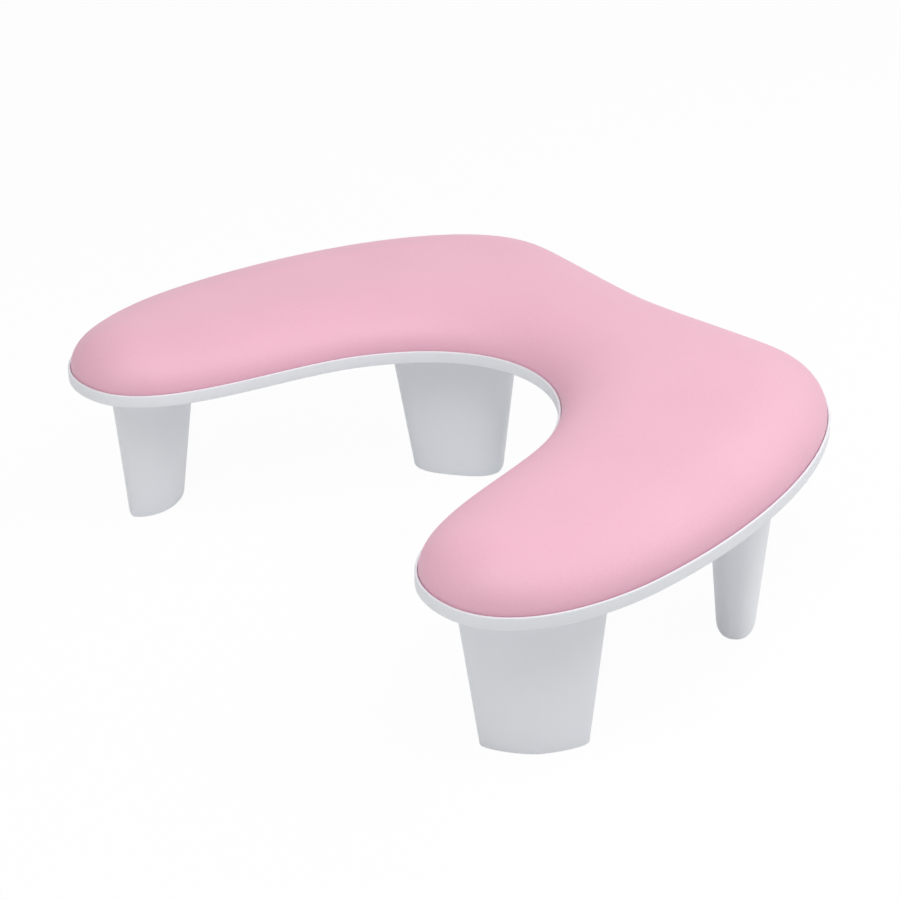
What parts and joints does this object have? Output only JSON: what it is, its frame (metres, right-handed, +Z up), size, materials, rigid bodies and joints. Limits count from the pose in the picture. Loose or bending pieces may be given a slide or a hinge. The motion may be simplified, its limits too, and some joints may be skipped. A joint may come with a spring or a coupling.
{
  "type": "hand rest",
  "caption": "Padded horseshoe-shaped hand and forearm rest with a leatherette cushion on a white moulded base with short tapered legs.",
  "frame": {"origin": "on the table, below the middle of the base's plan", "axes": "+Z up from the table to the cushion, +X along the width across both wings, and the opening between the wings faces -Y"},
  "size_m": [0.4, 0.3016, 0.1161],
  "materials": {
    "plastic": "satin moulded",
    "leatherette": "soft matte with a faint sheen",
    "foam": "open cell",
    "fibreboard": "raw",
    "steel": "zinc plated",
    "rubber": "matt"
  },
  "bodies": {
    "root": {"base": "plastic", "cushion_cover": "leatherette", "foam_pad": "foam", "backing_board": "fibreboard", "foot_pad_front_right": "rubber", "foot_pad_front_left": "rubber", "foot_pad_rear_right": "rubber", "foot_pad_rear_left": "rubber", "cushion_screw_1": "steel", "cushion_screw_2": "steel", "cushion_screw_3": "steel", "cushion_screw_4": "steel", "cushion_screw_5": "steel", "cushion_screw_6": "steel"}
  },
  "joints": []
}
